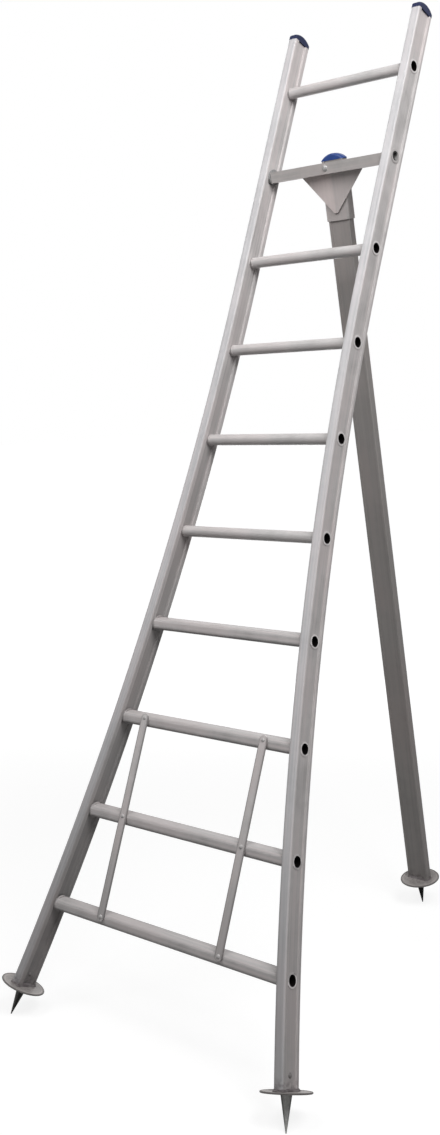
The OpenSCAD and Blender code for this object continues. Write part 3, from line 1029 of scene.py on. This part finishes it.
@dataclass(frozen=True)
class Layout:
    """Driving sizes of the ladder, in metres and degrees, and the frames that follow from them."""

    lean: float = 21.9
    open_angle: float = 31.3
    pitch: float = 0.280
    pivot_spot: int = 8
    top_spot: int = 9
    treads: int = 4
    stile_half: float = 0.223
    bend_start: float = 1.916
    bend_radius: float = 9.140
    foot_drop: float = 0.250
    top_rise: float = 0.170
    pivot: Vector = field(default_factory=lambda: Vector(frame["joints"][0]["pos_m"]))

    def ladder(self) -> Matrix:
        """Frame of the ladder: x across, y behind the rungs, z up from the lowest rung."""
        turn = Matrix.Translation(self.pivot) @ Matrix.Rotation(math.radians(-self.lean), 4, "X")
        return turn @ Matrix.Translation((0, 0, -self.pivot_spot * self.pitch))

    def pole(self) -> Matrix:
        """Frame of the pole: x across, y behind the pivot, z up the pole."""
        angle = math.radians(self.open_angle - self.lean)
        return Matrix.Translation(self.pivot) @ Matrix.Rotation(angle, 4, "X")

    def bend_angle(self) -> float:
        """Whole turn of the bend in radians."""
        return math.asin((self.bend_start + self.foot_drop) / self.bend_radius)

    def foot(self, side: Side) -> Matrix:
        """Frame of a stile end: z up the stile.

        Args:
            side: side of the ladder.

        Returns:
            The frame.
        """
        turn = self.bend_angle()
        out = self.stile_half + self.bend_radius * (1 - math.cos(turn))
        spot = Matrix.Translation((side.value * out, 0, -self.foot_drop))
        return self.ladder() @ spot @ Matrix.Rotation(-side.value * turn, 4, "Y")

    def unbent(self, side: Side) -> Place:
        """Grain coordinates along a bent stile.

        Args:
            side: side of the ladder.

        Returns:
            A function from the shared frame to section x, section y and length along the stile.
        """
        back = self.ladder().inverted()

        def place(point: Vector) -> Vector:
            """Straighten one point.

            Args:
                point: point in the shared frame.

            Returns:
                Its grain coordinates.
            """
            local = back @ point
            across = side.value * local.x - self.stile_half
            if local.z >= self.bend_start:
                return Vector((across, local.y, local.z))
            reach = self.bend_radius - across
            turn = math.atan2(self.bend_start - local.z, reach)
            away = math.hypot(self.bend_start - local.z, reach)
            return Vector((self.bend_radius - away, local.y, self.bend_start - self.bend_radius * turn))

        return place


def along(matrix: Matrix, axis: str = "Z") -> Place:
    """Grain coordinates of a straight piece.

    Args:
        matrix: frame of the piece.
        axis: axis of that frame along which the grain runs.

    Returns:
        A function from the shared frame to grain coordinates.
    """
    turn = {"X": Matrix.Rotation(math.radians(-90), 4, "Y"), "Z": Matrix.Identity(4)}[axis]
    back = turn @ matrix.inverted()
    return lambda point: back @ point


RUNG_BORE = Bore(14 * MM)
PIVOT_BORE = Bore(13.2 * MM, glint=0.8)
NO_PATCH = Patch(0.0)
RIGHT_STILE_FINISH = StileAluminium(
    "stile_mill_aluminium", (0.622, 0.595, 0.59), 0.42, 0.03, tones=(0.77, 1.23), heat_end=-0.271
)
# Left stile: a copy of the right finish whose painted shade reaches higher up, with a little less painted
# shade on its inner side.
LEFT_INNER = replace(RIGHT_STILE_FINISH.inner, strength=0.37)
LEFT_STILE_FINISH = replace(
    RIGHT_STILE_FINISH, name="stile_foot_shaded_aluminium", foot_shade=foot_shade_patch(top=0.9), inner=LEFT_INNER
)
RUNG_FINISH = MillAluminium(
    "rung_mill_aluminium", (0.58, 0.56, 0.555), 0.40, 0.03, lines=1100.0, bore=RUNG_BORE
)
TREAD_FINISH = TreadAluminium(
    "tread_mill_aluminium", (0.70, 0.67, 0.665), 0.42, 0.03, tones=(0.76, 1.24), lines=1100.0, bore=RUNG_BORE
)
BAR_FINISH = MillAluminium("bracket_aluminium", (0.46, 0.437, 0.428), 0.45, 0.03, haze=26.0)
# The gusset is lighter than the bracket aluminium, as painted light against the crossbar's shadow.
GUSSET_FINISH = GussetAluminium("gusset_aluminium", (0.64, 0.585, 0.572), 0.45, 0.03, haze=26.0)
TUBE_FINISH = MillAluminium("pivot_tube_aluminium", (0.50, 0.49, 0.48), 0.45, 0.03, bore=PIVOT_BORE)
POLE_FINISH = FootShadedAluminium("pole_dull_aluminium", (0.335, 0.317, 0.308), 0.5, 0.02, foot_shade=foot_shade_patch(0.0))
STRAP_FINISH = StrapAluminium(
    "strap_aluminium", (0.60, 0.575, 0.57), 0.42, 0.03, haze=24.0, foot_shade=foot_shade_patch(top=0.42, low=-0.1)
)
PLATE_FINISH = PlatedSteel("foot_plate_zinc", (0.37, 0.345, 0.335), 0.5, 0.03)
WELD_FINISH = PlatedSteel(
    "weld_scale", (0.34, 0.315, 0.32), 0.55, 0.03, spangle=160.0, rim=NO_PATCH, ring=NO_PATCH
)
RIVET_FINISH = BrightFastener("rivet_zinc", (0.52, 0.505, 0.50), 0.35, 0.05)
# Foot rivets: a darker copy of the rivet finish, as painted shade near the ground.
SHADED_RIVET_FINISH = BrightFastener("rivet_shaded", (0.24, 0.228, 0.225), 0.5, 0.02)
BOLT_FINISH = BrightFastener("bolt_zinc", (0.40, 0.39, 0.385), 0.22, 0.1, specular=0.7)
GREY_FINISH = MouldedPlastic("grey_moulded_plastic", (0.30, 0.30, 0.30), 0.5, scuff=(0.45, 0.45, 0.45))
BUSH_FINISH = MillAluminium("bush_dark_grey", (0.42, 0.40, 0.395), 0.45, bore=PIVOT_BORE)
NAVY_FINISH = MouldedPlastic("cap_navy_plastic", (0.010, 0.017, 0.065), 0.4, specular=0.22)
BLUE_FINISH = MouldedPlastic(
    "cap_blue_plastic", (0.008, 0.042, 0.2), 0.33, specular=0.35, scuff=(0.1, 0.2, 0.5)
)
# Three copies of one spike steel with different tones and painted highlights, as painted light and shade for
# each spike.
SPIKE_FINISHES = {
    "right": DarkSteel("right_spike_steel", (0.09, 0.09, 0.088), 0.6, 0.1, specular=0.08, wear_and_highlight=0.8),
    "left": DarkSteel("left_spike_steel", (0.05, 0.049, 0.048), 0.6, 0.05, specular=0.06, highlight_angle=-110.0),
    "pole": DarkSteel("pole_spike_steel", (0.012, 0.012, 0.012), 0.6, specular=0.04, wear_and_highlight=0.03),
}


@dataclass
class Dressed:
    """Copy of one node, reshaped where that is asked for, with round edges, a grain and a finish."""

    node: str
    body: Body
    slot: Slot
    finish: Finish
    place: Place
    edge: Edge = Edge.SAWN
    turn: Optional[Matrix] = None

    def shape(self, piece: bpy.types.Object) -> None:
        """Turn the copy where that is asked for, and round its edges.

        Args:
            piece: copy of the node.
        """
        if self.turn:
            piece.data.transform(self.turn)
        if self.edge is not Edge.AS_PACKED:
            Bench.round_edges(piece, self.edge.value)

    def build(self) -> None:
        """Make the piece."""
        piece = Bench.copy_of(self.node, self.node + "_dressed")
        self.shape(piece)
        Bench.lay_grain(piece, self.place)
        Bench.lay_ends(piece)
        Bench.hand_in(piece, self.body, self.slot, self.finish, self.node)


@dataclass
class Rung(Dressed):
    """Rung whose swaged collars run softly into the tube."""

    middle: Vector = field(default_factory=Vector)
    tube: float = 16 * MM
    collar: float = 15 * MM
    share: float = 0.15
    slack: float = 0.2 * MM

    def shape(self, piece: bpy.types.Object) -> None:
        """Pull the collars in.

        Args:
            piece: copy of the rung.
        """
        far = max(abs(vertex.co.x) for vertex in piece.data.vertices)
        for vertex in piece.data.vertices:
            away = vertex.co - self.middle
            reach = math.hypot(away.y, away.z)
            if reach > self.tube + self.slack and abs(away.x) < far - self.collar:
                factor = (self.tube + self.share * (reach - self.tube)) / reach
                vertex.co = self.middle + Vector((away.x, factor * away.y, factor * away.z))


@dataclass
class Stile:
    """Bent stile: a recessed section drawn along the straight top and the long curve below."""

    layout: Layout
    side: Side
    width: float = 30 * MM
    depth: float = 68 * MM
    recess: float = 5 * MM
    outer_bead: float = 13 * MM
    inner_bead: float = 17 * MM
    corner: float = 5.5 * MM
    corner_faces: int = 6
    ease: float = 2.4 * MM
    ease_faces: int = 4
    slack: float = 1 * MM
    hole: float = 16.1 * MM
    hole_faces: int = 72
    pin_length: float = 1.2
    steps: int = 44

    def section(self) -> List[Tuple[float, float]]:
        """Sharp corners of the section.

        Returns:
            The corners in order, from the outer front one.
        """
        x, y = self.width / 2, self.depth / 2
        floor, outer, inner = x - self.recess, y - self.outer_bead, y - self.inner_bead
        outside = [(x, -y), (x, -outer), (floor, -outer), (floor, outer), (x, outer), (x, y)]
        return outside + [(-x, y), (-x, inner), (-floor, inner), (-floor, -inner), (-x, -inner), (-x, -y)]

    def start(self) -> bpy.types.Object:
        """Section with round corners, as a closed line where the bend begins.

        Returns:
            The line.
        """
        Bench.clear()
        corners = self.section()
        bpy.ops.mesh.primitive_circle_add(vertices=len(corners), fill_type="NGON")
        piece = bpy.context.active_object
        for vertex, (x, y) in zip(piece.data.vertices, corners):
            vertex.co = (x, y, 0)
        square = self.width / 2 + self.depth / 2 - self.slack
        kinds = ((False, self.ease, self.ease_faces), (True, self.corner, self.corner_faces))
        for outermost, radius, faces in kinds:
            Bench.select(piece, lambda co, wanted=outermost: (abs(co.x) + abs(co.y) > square) == wanted)
            bpy.ops.mesh.bevel(offset=radius, segments=faces, affect="VERTICES")
        bpy.ops.mesh.select_all(action="SELECT")
        bpy.ops.mesh.delete(type="ONLY_FACE")
        bpy.ops.mesh.select_all(action="SELECT")
        bpy.ops.transform.translate(value=(self.layout.stile_half, 0, self.layout.bend_start))
        return piece

    def draw(self, piece: bpy.types.Object) -> None:
        """Draw the section up to the top and down round the bend, and close both ends.

        Args:
            piece: the section line.
        """
        layout = self.layout
        rise = layout.top_spot * layout.pitch + layout.top_rise - layout.bend_start
        Bench.edit(piece)
        bpy.ops.mesh.extrude_region_move(TRANSFORM_OT_translate={"value": (0, 0, rise)})
        bpy.ops.mesh.edge_face_add()
        bpy.ops.mesh.select_all(action="DESELECT")
        bpy.ops.mesh.select_non_manifold(extend=False)
        centre = (layout.stile_half + layout.bend_radius, 0, layout.bend_start)
        bpy.ops.mesh.spin(steps=self.steps, angle=layout.bend_angle(), center=centre, axis=(0, 1, 0))
        bpy.ops.mesh.edge_face_add()
        bpy.ops.mesh.select_all(action="SELECT")
        bpy.ops.mesh.remove_doubles(threshold=Bench.MERGE)
        bpy.ops.mesh.normals_make_consistent(inside=False)
        Bench.clear()

    def drill(self, piece: bpy.types.Object) -> None:
        """Cut the rung holes.

        Args:
            piece: the drawn stile.
        """
        layout = self.layout
        turn = (0, math.radians(90), 0)
        pins = []
        for spot in range(layout.top_spot + 1):
            Bench.clear()
            place = (layout.stile_half, 0, spot * layout.pitch)
            bpy.ops.mesh.primitive_cylinder_add(
                vertices=self.hole_faces,
                radius=self.hole,
                depth=self.pin_length,
                location=place,
                rotation=turn,
            )
            pins.append(bpy.context.active_object)
        Bench.pick(pins[0])
        for pin in pins:
            pin.select_set(True)
        bpy.ops.object.join()
        Bench.cut(piece, bpy.context.active_object)

    def build(self) -> None:
        """Make the stile."""
        node = f"{self.side.name.lower()}_stile"
        piece = self.start()
        piece.name = node + "_drawn"
        self.draw(piece)
        self.drill(piece)
        Bench.settle(piece, self.layout.ladder() @ Matrix.Scale(self.side.value, 4, (1, 0, 0)))
        Bench.lay_grain(piece, self.layout.unbent(self.side))
        finish = LEFT_STILE_FINISH if self.side is Side.LEFT else RIGHT_STILE_FINISH
        Bench.hand_in(piece, Body.LADDER, Slot.STILE, finish, node)


@dataclass
class Weld:
    """Lumpy weld fillet between a tube end and its foot plate."""

    name: str
    body: Body
    foot: Matrix
    size: Tuple[float, float]
    height: float = 6.5 * MM
    flare: float = 2.5 * MM
    rounding: float = 2 * MM
    rounding_angle: float = 60.0
    cuts: int = 12
    lump: float = 1.4 * MM
    outward: float = 0.6
    smoothing: float = 0.5
    smoothing_rounds: int = 2
    seed: int = 3

    def build(self) -> None:
        """Make the fillet from a tapered block with a rough skin."""
        Bench.clear()
        bpy.ops.mesh.primitive_cube_add(size=1.0, location=(0, 0, self.height / 2))
        piece = bpy.context.active_object
        piece.name = self.name
        piece.scale = (self.size[0] + 2 * self.flare, self.size[1] + 2 * self.flare, self.height)
        bpy.ops.object.transform_apply(location=True, rotation=True, scale=True)
        Bench.select(piece, lambda co: co.z > self.height / 2)
        shares = [edge / (edge + 2 * self.flare) for edge in self.size]
        bpy.ops.transform.resize(value=(*shares, 1.0))
        Bench.round_edges(piece, self.rounding, self.rounding_angle)
        Bench.edit(piece)
        bpy.ops.mesh.subdivide(number_cuts=self.cuts)
        bpy.ops.transform.vertex_random(offset=self.lump, uniform=0.0, normal=self.outward, seed=self.seed)
        bpy.ops.mesh.vertices_smooth(factor=self.smoothing, repeat=self.smoothing_rounds)
        Bench.settle(piece, self.foot)
        Bench.lay_grain(piece, along(self.foot))
        Bench.hand_in(piece, self.body, Slot.PLATE, WELD_FINISH)


@dataclass
class LadderSide:
    """Climbing side: stiles, rungs, straps, feet and the fixed half of the pivot."""

    layout: Layout

    def build(self) -> None:
        """Make every piece of the ladder body."""
        ladder = self.layout.ladder()
        for side in Side:
            word = side.name.lower()
            foot = along(self.layout.foot(side))
            pivot = along(Matrix.Translation(self.layout.pivot), "X")
            stile = Stile(self.layout, side)
            stile.build()
            Weld(f"{word}_weld", Body.LADDER, self.layout.foot(side), (stile.width, stile.depth)).build()
            rows = [
                ("stile_cap", Slot.NAVY, NAVY_FINISH, along(ladder), Edge.STILE_CAP),
                ("strap", Slot.STILE, STRAP_FINISH, along(ladder), Edge.SAWN),
                ("foot_disc", Slot.PLATE, PLATE_FINISH, foot, Edge.AS_PACKED),
                ("spike", Slot.SPIKE, SPIKE_FINISHES[word], foot, Edge.AS_PACKED),
                ("foot_plug", Slot.GREY, GREY_FINISH, foot, Edge.SAWN),
                ("pivot_bush", Slot.GREY, BUSH_FINISH, pivot, Edge.AS_PACKED),
                ("pivot_washer", Slot.GREY, GREY_FINISH, pivot, Edge.SAWN),
            ]
            for name, *row in rows:
                Dressed(f"{word}_{name}", Body.LADDER, *row).build()
        for spot in range(self.layout.top_spot + 1):
            if spot == self.layout.pivot_spot:
                continue
            centre = ladder @ Vector((0, 0, spot * self.layout.pitch))
            place = along(Matrix.Translation(centre), "X")
            name = f"rung_{self.layout.top_spot + 1 - spot}"
            if spot < self.layout.treads:
                Dressed(name, Body.LADDER, Slot.RUNG, TREAD_FINISH, place, Edge.AS_PACKED).build()
            else:
                Rung(name, Body.LADDER, Slot.RUNG, RUNG_FINISH, place, middle=centre).build()
        for node, finish in (("strap_rivets", RIVET_FINISH), ("foot_rivets", SHADED_RIVET_FINISH)):
            Dressed(node, Body.LADDER, Slot.FASTENER, finish, along(ladder), Edge.AS_PACKED).build()


@dataclass
class PoleSide:
    """Rear pole with its bracket, on the pivot tube."""

    layout: Layout
    section: Span = (76 * MM, 25 * MM)
    gusset_top: Triple = (0.0, 4 * MM, -17 * MM)
    gusset_lean: float = 2.2
    gusset_back: float = 3.5 * MM
    gusset_growth: float = 1.03
    bolt_growth: float = 1.35
    cap_growth: float = 1.06

    @staticmethod
    def swollen(pole: Matrix, growth: Triple) -> Matrix:
        """Matrix that makes a piece larger along the axes of the pole.

        Args:
            pole: place of the pole.
            growth: growth along each axis.

        Returns:
            The matrix in the shared frame.
        """
        return pole @ Matrix.Diagonal((*growth, 1.0)) @ pole.inverted()

    def build(self) -> None:
        """Make every piece of the pole body."""
        pole = self.layout.pole()
        foot = self.foot(pole)
        hot = replace(POLE_FINISH, heat_end=(pole.inverted() @ foot.translation).z)
        head = self.swollen(pole, (self.bolt_growth, 1.0, self.bolt_growth))
        broad = self.swollen(pole, (self.cap_growth, 1.0, 1.0))
        lying, standing, below = along(pole, "X"), along(pole), along(foot)
        rows = [
            ("pole", Slot.POLE, hot, standing, Edge.SAWN),
            ("bracket_sleeve", Slot.POLE, BAR_FINISH, standing, Edge.SAWN),
            ("crossbar", Slot.POLE, BAR_FINISH, lying, Edge.FOLDED),
            ("pivot_tube", Slot.POLE, TUBE_FINISH, lying, Edge.TUBE),
            ("pole_foot_disc", Slot.PLATE, PLATE_FINISH, below, Edge.AS_PACKED),
            ("pole_spike", Slot.SPIKE, SPIKE_FINISHES["pole"], below, Edge.AS_PACKED),
            ("pole_foot_plug", Slot.GREY, GREY_FINISH, standing, Edge.SAWN),
            ("pole_foot_rivet", Slot.FASTENER, SHADED_RIVET_FINISH, standing, Edge.AS_PACKED),
            ("crossbar_bolt", Slot.FASTENER, BOLT_FINISH, standing, Edge.AS_PACKED, head),
            ("pole_cap", Slot.BLUE, BLUE_FINISH, standing, Edge.POLE_CAP, broad),
            ("bracket_gusset", Slot.POLE, GUSSET_FINISH, standing, Edge.FOLDED, self.seated(pole)),
        ]
        for node, *row in rows:
            Dressed(node, Body.POLE, *row).build()
        Weld("pole_weld", Body.POLE, foot, self.section, seed=8).build()

    def seated(self, pole: Matrix) -> Matrix:
        """Matrix that brings the gusset to the sleeve.

        Args:
            pole: place of the pole.

        Returns:
            The matrix in the shared frame.
        """
        top = Matrix.Translation(pole @ Vector(self.gusset_top))
        lean = top @ Matrix.Rotation(math.radians(self.gusset_lean), 4, "X") @ top.inverted()
        back = pole @ Matrix.Translation((0.0, self.gusset_back, 0.0)) @ pole.inverted()
        return back @ lean @ self.swollen(pole, (self.gusset_growth, 1.0, 1.0))

    def foot(self, pole: Matrix) -> Matrix:
        """Frame of the pole's end, from the box of its plug.

        Args:
            pole: place of the pole.

        Returns:
            The frame.
        """
        low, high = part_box("pole_foot_plug")
        local = pole.inverted() @ ((low + high) / 2)
        return pole @ Matrix.Translation((0, local.y, local.z - (high - low).z / 2))


@dataclass(frozen=True)
class Lamp:
    """Square area lamp: power in watts, edge length in metres, its place and the point that it faces."""

    name: str
    power: float
    size: float
    spot: Triple
    aim: Triple

    def build(self) -> None:
        """Hang the lamp."""
        data = bpy.data.lights.new(self.name, "AREA")
        data.energy = self.power
        data.size = self.size
        lamp = bpy.data.objects.new(self.name, data)
        bpy.context.scene.collection.objects.link(lamp)
        lamp.location = self.spot
        lamp.rotation_euler = (Vector(self.aim) - Vector(self.spot)).to_track_quat("-Z", "Y").to_euler()


@dataclass(frozen=True)
class Studio:
    """Floor, white surroundings and lamps."""

    lamps: Tuple[Lamp, ...] = (
        Lamp("side_lamp", 112.0, 2.0, (2.58, -0.91, 4.39), (0.0, 0.0, 1.2)),
        Lamp("front_lamp", 41.0, 1.9, (-0.35, -1.84, 3.59), (0.0, 0.0, 1.6)),
        Lamp("fill_lamp", 9.0, 3.0, (0.6, -5.0, 1.2), (0.0, 0.0, 0.9)),
        Lamp("rear_lamp", 26.0, 2.0, (-2.4, 3.4, 0.7), (0.0, 0.3, 1.4)),
    )
    ambient: float = 0.08
    floor_size: float = 80.0
    floor_grey: float = 0.25
    floor_glow: float = 0.86
    floor_fade: Span = (1.5, 5.0)

    @staticmethod
    def shown(sheet: Sheet) -> Signal:
        """Whether a ray shows the studio: camera, glossy and transmission rays do.

        Args:
            sheet: sheet of a material or of the world.

        Returns:
            1 for those rays and 0 for the rest.
        """
        path = sheet.node("ShaderNodeLightPath")
        seen = sheet.out(path, "Is Camera Ray").highest(sheet.out(path, "Is Glossy Ray"))
        return seen.highest(sheet.out(path, "Is Transmission Ray"))

    def surroundings(self) -> None:
        """White where it is seen or mirrored, dim where it lights."""
        world = bpy.data.worlds.new("studio")
        bpy.context.scene.world = world
        world.use_nodes = True
        sheet = Sheet(world.node_tree)
        strength = self.ambient + (1.0 - self.ambient) * self.shown(sheet)
        light = sheet.node("ShaderNodeBackground", None, {"Color": (1, 1, 1, 1), "Strength": strength})
        sheet.node("ShaderNodeOutputWorld", None, {"Surface": sheet.out(light)})

    def floor(self) -> None:
        """Pale floor that keeps the object's shadow."""
        Bench.clear()
        bpy.ops.mesh.primitive_plane_add(size=self.floor_size, location=(0, 0, 0))
        floor = bpy.context.active_object
        floor.name = "studio_floor"
        made = bpy.data.materials.new("studio_floor")
        made.use_nodes = True
        sheet = Sheet(made.node_tree)
        spot = sheet.out(sheet.node("ShaderNodeTexCoord"), "Object")
        glow = self.floor_glow + (1.0 - self.floor_glow) * sheet.length(spot).step(*self.floor_fade)
        grey = (self.floor_grey, self.floor_grey, self.floor_grey, 1.0)
        matt = sheet.node("ShaderNodeBsdfDiffuse", None, {"Color": grey})
        white = {"Color": (1, 1, 1, 1), "Strength": glow * self.shown(sheet)}
        both = {0: sheet.out(matt), 1: sheet.out(sheet.node("ShaderNodeEmission", None, white))}
        total = sheet.node("ShaderNodeAddShader", None, both)
        sheet.node("ShaderNodeOutputMaterial", None, {"Surface": sheet.out(total)})
        floor.data.materials.append(made)

    def build(self) -> None:
        """Set up the whole studio."""
        self.surroundings()
        self.floor()
        for lamp in self.lamps:
            lamp.build()


@dataclass(frozen=True)
class Viewpoint:
    """Camera at the photograph's angle."""

    spot: Triple = (2.3499, -2.9491, 1.7482)
    yaw: float = 41.506
    pitch: float = -7.547
    roll: float = -2.233
    lens: float = 41.424

    def build(self) -> None:
        """Make the camera and set it on the scene."""
        data = bpy.data.cameras.new("camera")
        data.lens = self.lens
        camera = bpy.data.objects.new("camera", data)
        bpy.context.scene.collection.objects.link(camera)
        turns = ((self.yaw, "Z"), (90.0 + self.pitch, "X"), (self.roll, "Z"))
        matrix = Matrix.Translation(self.spot)
        for angle, axis in turns:
            matrix = matrix @ Matrix.Rotation(math.radians(angle), 4, axis)
        camera.matrix_world = matrix
        bpy.context.scene.camera = camera


def main() -> None:
    """Build the ladder, the studio and the camera."""
    logging.basicConfig(level=logging.INFO, format="%(name)s: %(message)s")
    bpy.context.scene.view_settings.view_transform = "Standard"
    layout = Layout()
    LadderSide(layout).build()
    PoleSide(layout).build()
    Studio().build()
    Viewpoint().build()


if __name__ == "__main__":
    main()
